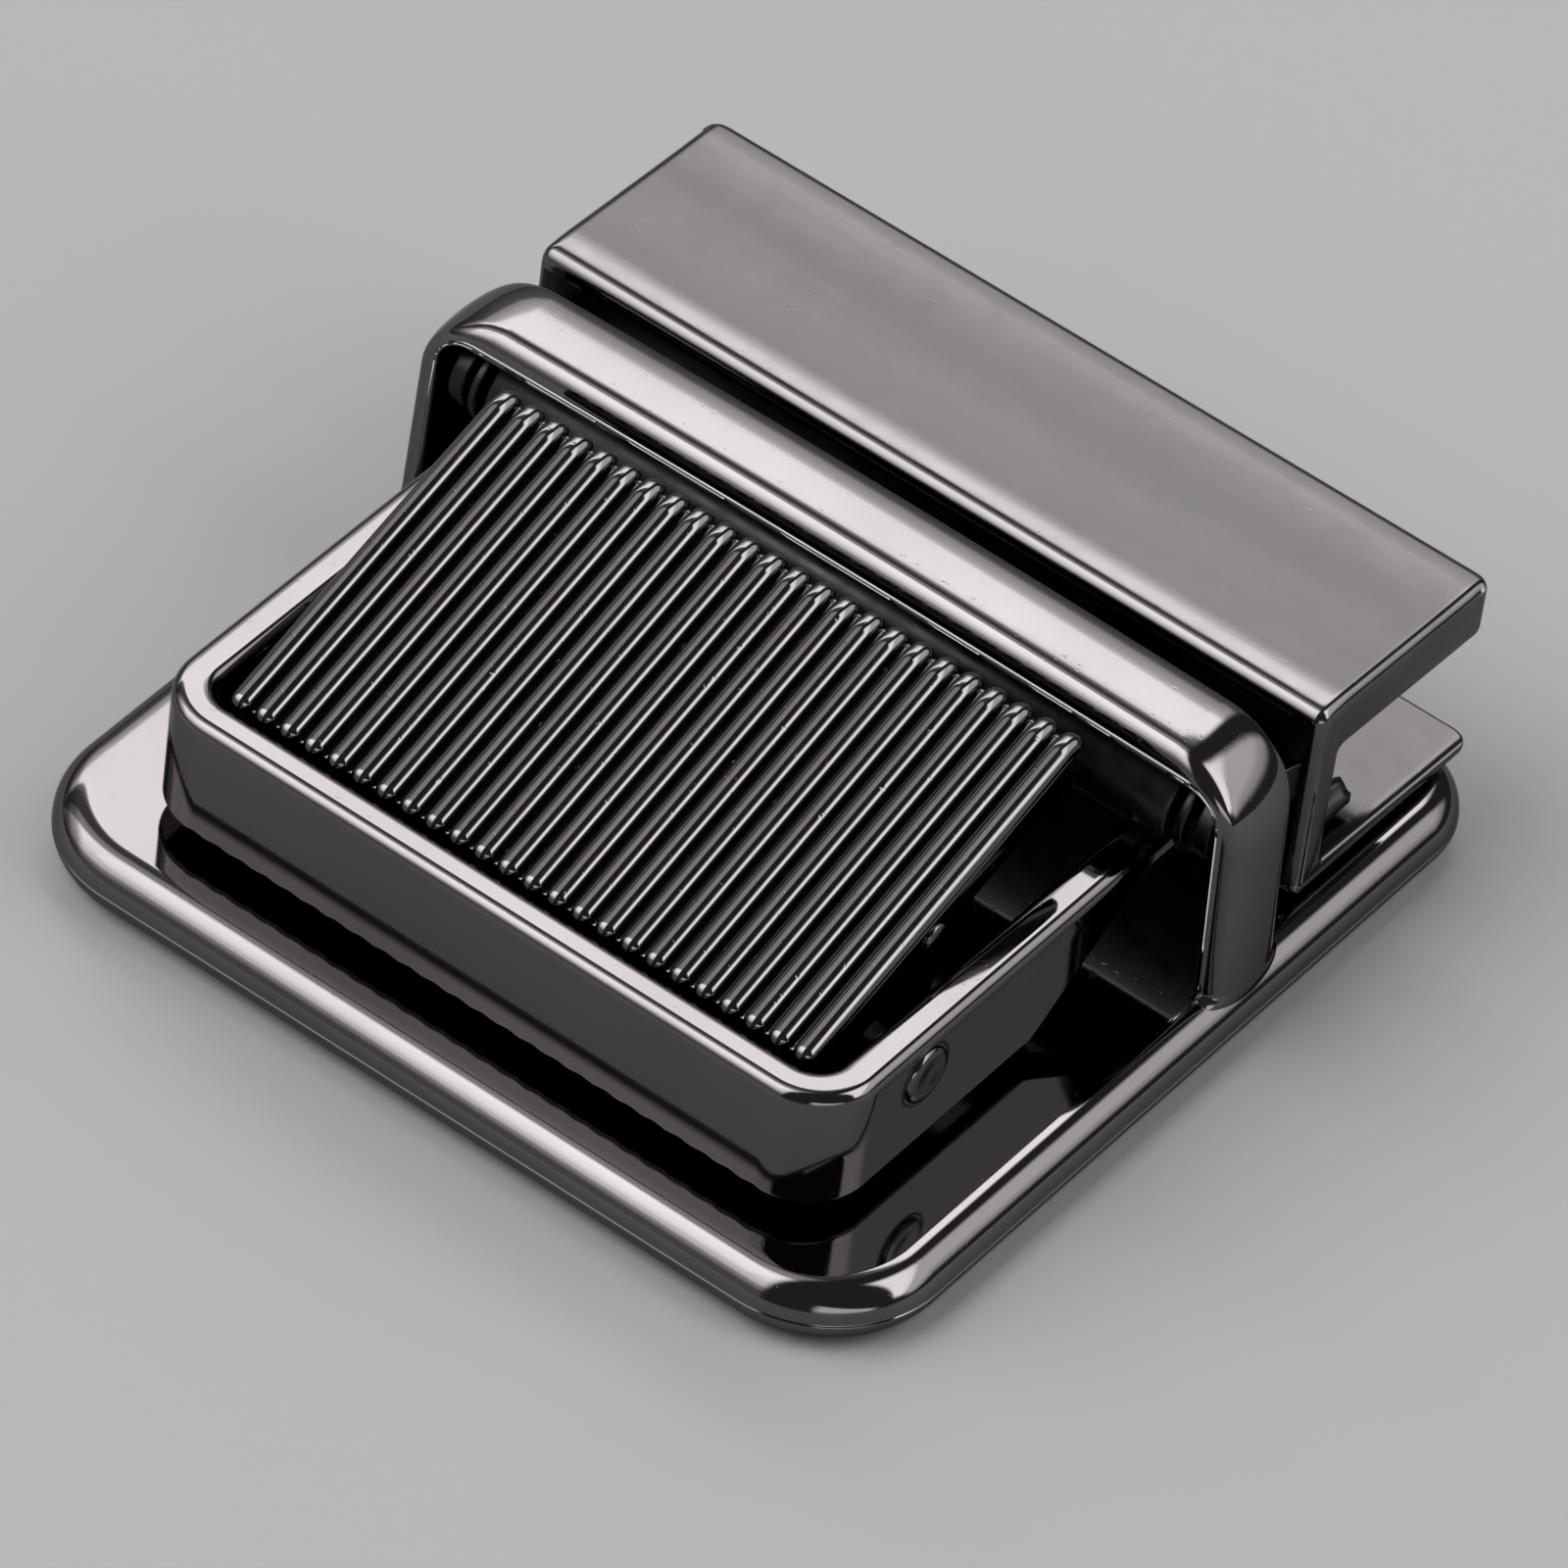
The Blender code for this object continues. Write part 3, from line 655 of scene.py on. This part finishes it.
def ribbed_lever():
    """The lever: a slab with hub and nose, from its side outline, under a row of parallel capsule ribs."""
    start = np.array([0.0, *RIB_FRONT])
    end = np.array([0.0, *RIB_REAR])
    run = end - start
    length = float(np.linalg.norm(run))
    run /= length
    up = np.array([0.0, -run[2], run[1]])
    parts = []
    for k in range(RIB_COUNT):
        x = (k - (RIB_COUNT - 1) / 2.0) * RIB_PITCH
        parts.append(rib(x, start, run, up, length))
    half = RIB_PITCH * (RIB_COUNT - 1) / 2.0 + 0.42
    slab = start - up * SLAB_DROP
    front_top = (slab - run * 0.12)[1:]
    rear_top = (slab + run * (length + 0.2))[1:]
    rear_low = rear_top - up[1:] * SLAB_THICK - run[1:] * 0.3
    slab_low = rear_low - run[1:] * 6.9
    outline = [
        (*front_top, 0.1),
        (-14.3, 6.0, 0.5),
        (-13.85, 4.6, 0.5),
        (-13.2, 3.5, 0.3),
        (-12.2, 3.45, 0.3),
        (-10.2, 4.1, 0.5),
        (-7.9, 5.6, 0.8),
        (*slab_low, 0.6),
        (*rear_low, 0.4),
        (*rear_top, 0.25),
    ]
    profile = held(rounded_line(outline, 7))
    parts.append(extruded(profile, rounded_ends(half, 0.15)))
    # A small boss on each end of the slab
    for sign in (-1.0, 1.0):
        stations = [(sign * (half - 0.1), BOSS_R), (sign * (half + 0.05), BOSS_R),
                    (sign * (half + 0.1), BOSS_R - 0.07)]
        parts.append(turned(*BOSS_YZ, stations if sign > 0 else stations[::-1], 32))
    points, faces = joined(parts)
    return mesh_piece("ribbed_lever", points, faces, lever_finish, "lever_body",
                      ["grip_lever"])


# ---------------------------------------------------------------- strap clamp


def clamp_underside(y):
    """The height of the top plate's underside, which falls towards the rear at CLAMP_FALL."""
    return CLAMP_TOP_Z - CLAMP_TOP_THICK - CLAMP_FALL * (y - CLAMP_FRONT_Y)


def clamp_outline():
    """The channel's section, and how much of an end's rounding each of its points takes.

    The top is a crown by its slopes. The underside of the top plate and the channel's floor run parallel to
    the crown's long slope. The web and the top take the whole rounding, and the thin plates a part of it.
    """
    crown = (crowned(CLAMP_CROWN) + [CLAMP_FRONT_Y, CLAMP_TOP_Z])[::-1]
    bottom, rear = CLAMP_BOTTOM_Z, CLAMP_TOP_REAR_Y
    inner_bottom = bottom + CLAMP_BOTTOM_THICK
    inner_front = CLAMP_FRONT_Y + CLAMP_WEB
    corners = [
        (CLAMP_FRONT_Y, CLAMP_TOP_Z - 1.6, 0.0),
        (CLAMP_FRONT_Y, bottom, 0.5),
        (CLAMP_BOTTOM_REAR_Y, bottom, 0.25),
        (CLAMP_BOTTOM_REAR_Y, inner_bottom - CLAMP_FALL * (CLAMP_BOTTOM_REAR_Y - inner_front), 0.2),
        (inner_front, inner_bottom, 0.25),
        (inner_front, clamp_underside(inner_front), 0.25),
        (rear, clamp_underside(rear), 0.35),
        (rear, clamp_underside(rear) + 0.9, 0.0),
    ]
    line = held(rounded_line(corners, 6, closed=False), closed=False)
    profile = np.concatenate([line, crown])
    share = np.full(len(profile), 0.3)
    share[len(line):] = 1.0
    share[len(line):] -= 0.7 * np.clip((crown[:, 0] - (rear - 0.45)) / 0.45, 0.0, 1.0)
    web = line[:, 0] < CLAMP_FRONT_Y + 0.01
    share[:len(line)][web] = 1.0
    return profile, share


def strap_clamp():
    """The channel: its section carried along X with rounded ends, and a saw-toothed comb under its top plate.

    Towards each end the rear of both plates is drawn forward by a quarter circle, which rounds them in plan.
    """
    profile, share = clamp_outline()
    stations = rounded_ends(CLAMP_HALF_X, CLAMP_END_R, 10)
    turn = np.radians(np.linspace(0.0, 90.0, 12))
    bends = [CLAMP_HALF_X - CLAMP_PLAN_R * (1.0 - math.sin(a)) for a in turn[:-1]]
    xs = dict(stations)
    for x in bends:
        if x < CLAMP_HALF_X - CLAMP_END_R - 2.0 * HOLD:
            xs[x] = 0.0
            xs[-x] = 0.0
    points, faces = extruded(profile, sorted(xs.items()), share)
    over = np.clip((np.abs(points[:, 0]) - (CLAMP_HALF_X - CLAMP_PLAN_R)) / CLAMP_PLAN_R, 0.0, 1.0)
    draw = 0.6 * CLAMP_PLAN_R * (1.0 - np.sqrt(1.0 - over**2))
    reach = np.clip((points[:, 1] - CLAMP_DRAW_START_Y) / (CLAMP_TOP_REAR_Y - CLAMP_DRAW_START_Y), 0.0, 1.0)
    points[:, 1] -= draw * reach

    # The comb's outline runs along the underside in saw teeth
    inner_front = CLAMP_FRONT_Y + CLAMP_WEB
    comb = [(inner_front - 0.4, clamp_underside(inner_front) + 0.4, 0.0),
            (inner_front - 0.4, clamp_underside(inner_front), 0.0)]
    for k in range(CLAMP_TEETH):
        y = inner_front + 0.5 + k * CLAMP_TOOTH_PITCH
        tip = y + CLAMP_TOOTH_PITCH / 2.0
        comb += [(y, clamp_underside(y) + 0.1, 0.0),
                 (tip, clamp_underside(tip) - CLAMP_TOOTH_HEIGHT, 0.05)]
    end = inner_front + 0.5 + CLAMP_TEETH * CLAMP_TOOTH_PITCH
    comb += [(end, clamp_underside(end) + 0.1, 0.0), (end, clamp_underside(end) + 0.4, 0.0)]
    teeth = extruded(rounded_line(comb, 4), rounded_ends(CLAMP_TEETH_HALF_X, 0.1))
    points, faces = joined([(points, faces), teeth])
    channel = mesh_piece("strap_clamp_channel", points, faces, clamp_finish, "clamp_body",
                         ["strap_clamp"])
    # The web's flat front, which the arch hides, takes the dark finish as painted shade for the shaded gap
    # between arch and clamp
    channel.data.materials.append(black_and_shade_finish)
    center = np.empty(3 * len(faces))
    channel.data.polygons.foreach_get("center", center)
    center = center.reshape(-1, 3) / MM
    painted_shade_web = (center[:, 1] < CLAMP_FRONT_Y + 0.02) & (center[:, 2] > 4.0) & (center[:, 2] < CLAMP_TOP_Z - 1.0)
    channel.data.polygons.foreach_set("material_index", painted_shade_web.astype(np.int32))
    return channel


def clamp_ears():
    """The clamp's two ears: round plates on the axle, each with a straight root that runs into the web."""
    outline = np.concatenate([
        arc((AXLE_Y, AXLE_Z), EAR_R, 60, 270, 30),
        [[CLAMP_FRONT_Y + 0.5, AXLE_Z - EAR_R], [CLAMP_FRONT_Y + 0.5, AXLE_Z]],
    ])
    parts = []
    for sign in (-1.0, 1.0):
        ear, ear_faces = extruded(held(outline), rounded_ends(EAR_HALF, 0.12))
        parts.append((ear + np.array([sign * EAR_MID_X, 0.0, 0.0]), ear_faces))
    points, faces = joined(parts)
    return mesh_piece("clamp_axle_ears", points, faces, black_and_shade_finish, "clamp_body")


def tooth_bar():
    """The toothed strip: a height over x and y that is a row of cosine ridges, sharpened by a power.

    The ridges fall towards the rear by a square law, and a flat base closes the strip below.
    """
    half, low, front, depth = 16.8, 4.1, 10.15, 2.6
    count = 30
    pitch = 2.0 * half / count
    x = np.linspace(-half, half, count * 6 + 1)
    wave = 0.5 - 0.5 * np.cos(FULL_TURN * (x + half) / pitch)
    y = np.linspace(front, front + depth, 9)
    share = (y - front) / depth
    fall = 1.0 - 0.35 * share**2
    height = low + 0.45 + 0.72 * wave[:, None] ** 1.4 * fall[None, :]
    top = np.stack([*np.meshgrid(x, y, indexing="ij"), height], axis=-1)
    base = top.copy()
    base[:, :, 2] = low
    rings = np.concatenate([base, top[:, ::-1]], axis=1)
    points, faces = tube(rings)
    return mesh_piece("strap_teeth", points, faces, teeth_and_seat_shade_finish, "clamp_body",
                      ["clamp_tooth_bar"])


# ---------------------------------------------------------------- axle and washers


def axle():
    """The axle: a plain turned bar."""
    points, faces = turned(AXLE_Y, AXLE_Z, [(-AXLE_HALF_X, AXLE_R), (AXLE_HALF_X, AXLE_R)])
    return mesh_piece("swing_axle", points, faces, black_and_shade_finish, "plate_body", ["hinge_axle"])


def axle_washers():
    """Two thin washers, each a small rounded rectangle turned round the axle."""
    section = rounded_line([(WASHER_INNER_X, WASHER_BORE_R, 0.05), (WASHER_OUTER_X, WASHER_BORE_R, 0.05),
                            (WASHER_OUTER_X, WASHER_R, 0.12), (WASHER_INNER_X, WASHER_R, 0.12)], 4)
    angle = np.linspace(0.0, FULL_TURN, 48, endpoint=False)
    for name, sign in (("left", -1.0), ("right", 1.0)):
        grid = np.stack([
            np.broadcast_to(sign * section[None, :, 0], (48, len(section))),
            AXLE_Y + section[None, :, 1] * np.cos(angle)[:, None],
            AXLE_Z + section[None, :, 1] * np.sin(angle)[:, None],
        ], axis=-1)
        if sign > 0:
            grid = grid[:, ::-1]
        faces = grid_faces(48, len(section), wrap_rows=True, wrap_cols=True)
        mesh_piece("spacer_" + name, grid.reshape(-1, 3), faces, black_and_shade_finish, "plate_body",
                   ["axle_washer_" + name])


# ---------------------------------------------------------------- room, light and camera


FLOOR_HALF = 1.5
SOFTBOX_SIZE = (0.22, 0.34)
SOFTBOX_RADIANCE = 0.7
SOFTBOX_TOWARD = (-0.38, -0.42, 0.83)
SOFTBOX_DISTANCE = 0.6

# Where the camera stands, in degrees and metres, and its lens and shift as shares of the sensor's width
VIEW_AZIMUTH = 32.427
VIEW_ELEVATION = 44.253
VIEW_ROLL = 7.801
VIEW_TARGET = (0.0, 0.00015, 0.0026)
VIEW_DISTANCE = 0.5042
SENSOR_WIDTH = 36.0
LENS_SHARE = 9.028125
SHIFT_SHARE = 0.01608125


def pale_floor():
    """A flat, plain, pale floor."""
    mat = bpy.data.materials.new("pale_floor")
    mat.use_nodes = True
    shader = mat.node_tree.nodes["Principled BSDF"]
    shader.inputs["Base Color"].default_value = (0.245, 0.245, 0.25, 1.0)
    shader.inputs["Roughness"].default_value = 0.7
    half = FLOOR_HALF
    mesh = bpy.data.meshes.new("floor")
    corners = [(-half, -half, 0), (half, -half, 0), (half, half, 0), (-half, half, 0)]
    mesh.from_pydata(corners, [], [(0, 1, 2, 3)])
    mesh.materials.append(mat)
    link(bpy.data.objects.new("floor", mesh))


# The studio's big soft panels. Round the X axis an angle runs from 0, level behind the buckle, over 90,
# overhead, to 180, level in front. Each panel is a brightness over that angle, times a share over the
# direction's x.
LEFT_PANELS = (
    (0, 0.02), (12, 0.04), (29, 0.06), (37, 0.28), (43, 0.36), (46, 0.50), (49, 0.95), (55, 1.0),
    (58, 0.12), (63, 0.03), (76, 0.03), (81, 0.20), (92, 0.26), (97, 0.85), (102, 1.0), (116, 0.9),
    (140, 0.6), (152, 0.2), (165, 0.05),
)
LEFT_REACH = ((-0.98, 0.05), (-0.88, 0.35), (-0.76, 1.0), (-0.14, 1.0), (-0.03, 0.0))
RIGHT_PANEL = ((14, 0.0), (28, 0.3), (38, 0.45), (52, 0.45), (58, 0.9), (64, 1.0), (77, 1.0), (83, 0.0))
RIGHT_REACH = ((0.22, 0.0), (0.38, 1.0), (0.93, 1.0), (0.98, 0.0))
FRONT_PANEL = ((148, 0.0), (154, 1.0), (170, 1.0), (176, 0.3))
FRONT_REACH = ((0.5, 0.0), (0.62, 1.0), (0.95, 1.0), (0.99, 0.0))
LEFT_LEVEL = 6.2
RIGHT_LEVEL = 5.6
FRONT_LEVEL = 2.4
ROOM_LEVEL = 0.1


def studio_room():
    """A dim room with soft panels at the left, the right and the low front: a brightness by direction."""
    world = bpy.data.worlds.new("studio")
    world.use_nodes = True
    nodes = world.node_tree.nodes
    links = world.node_tree.links
    where = nodes.new("ShaderNodeTexCoord").outputs["Generated"]
    split = nodes.new("ShaderNodeSeparateXYZ")
    links.new(where, split.inputs["Vector"])

    def compute(operation, *values):
        node = nodes.new("ShaderNodeMath")
        node.operation = operation
        for socket, value in zip(node.inputs, values):
            if isinstance(value, float):
                socket.default_value = value
            else:
                links.new(value, socket)
        return node.outputs["Value"]

    def ramp(value, stops, low, high):
        node = nodes.new("ShaderNodeValToRGB")
        node.color_ramp.interpolation = "EASE"
        elements = node.color_ramp.elements
        while len(elements) < len(stops):
            elements.new(1.0)
        for element, (at, level) in zip(elements, stops):
            element.position = (at - low) / (high - low)
        for element, (at, level) in zip(elements, stops):
            element.color = (level, level, level, 1.0)
        scaled = compute("MULTIPLY_ADD", value, 1.0 / (high - low), -low / (high - low))
        links.new(scaled, node.inputs["Fac"])
        return node.outputs["Color"]

    turn = compute("ARCTAN2", split.outputs["Z"], split.outputs["Y"])
    around = compute("MULTIPLY", turn, 180.0 / math.pi)
    total = ROOM_LEVEL
    for panel, reach, level in (
        (LEFT_PANELS, LEFT_REACH, LEFT_LEVEL),
        (RIGHT_PANEL, RIGHT_REACH, RIGHT_LEVEL),
        (FRONT_PANEL, FRONT_REACH, FRONT_LEVEL),
    ):
        share = compute("MULTIPLY", ramp(around, panel, 0.0, 180.0),
                        ramp(split.outputs["X"], reach, -1.0, 1.0))
        total = compute("MULTIPLY_ADD", share, level, total)
    links.new(total, nodes["Background"].inputs["Strength"])
    nodes["Background"].inputs["Color"].default_value = (1.0, 0.985, 1.0, 1.0)
    bpy.context.scene.world = world


def overhead_softbox():
    """A rectangular light above the buckle's front, a little brighter than the panel that it hangs in."""
    data = bpy.data.lights.new("overhead_softbox", "AREA")
    data.shape = "RECTANGLE"
    data.size, data.size_y = SOFTBOX_SIZE
    data.energy = SOFTBOX_RADIANCE * math.pi * data.size * data.size_y
    obj = link(bpy.data.objects.new("overhead_softbox", data))
    direction = np.array(SOFTBOX_TOWARD)
    obj.location = direction / np.linalg.norm(direction) * SOFTBOX_DISTANCE
    obj.rotation_euler = obj.location.to_track_quat("Z", "Y").to_euler()


def camera():
    """A long lens that looks down at the buckle's back from its right front, slightly rolled."""
    azimuth, elevation, roll = (math.radians(a) for a in (VIEW_AZIMUTH, VIEW_ELEVATION, VIEW_ROLL))
    toward = np.array([
        math.sin(azimuth) * math.cos(elevation),
        -math.cos(azimuth) * math.cos(elevation),
        math.sin(elevation),
    ])
    right = np.cross(-toward, [0.0, 0.0, 1.0])
    right /= np.linalg.norm(right)
    up = np.cross(right, -toward)
    rolled_right = math.cos(roll) * right + math.sin(roll) * up
    rolled_up = math.cos(roll) * up - math.sin(roll) * right
    data = bpy.data.cameras.new("camera")
    data.sensor_width = SENSOR_WIDTH
    data.lens = SENSOR_WIDTH * LENS_SHARE
    data.shift_x = SHIFT_SHARE
    data.clip_start = 0.01
    obj = link(bpy.data.objects.new("camera", data))
    place = np.identity(4)
    place[:3, 0] = rolled_right
    place[:3, 1] = rolled_up
    place[:3, 2] = toward
    place[:3, 3] = np.array(VIEW_TARGET) + toward * VIEW_DISTANCE
    obj.matrix_world = Matrix(place.tolist())
    bpy.context.scene.camera = obj


face_plate()
keeper_arch()
frame_box()
frame_barrel()
pin_ends()
pin_rings()
torsion_spring()
ribbed_lever()
strap_clamp()
clamp_ears()
tooth_bar()
axle()
axle_washers()
pale_floor()
studio_room()
overhead_softbox()
camera()
bpy.context.scene.view_settings.view_transform = "Standard"

bpy.context.view_layer.update()
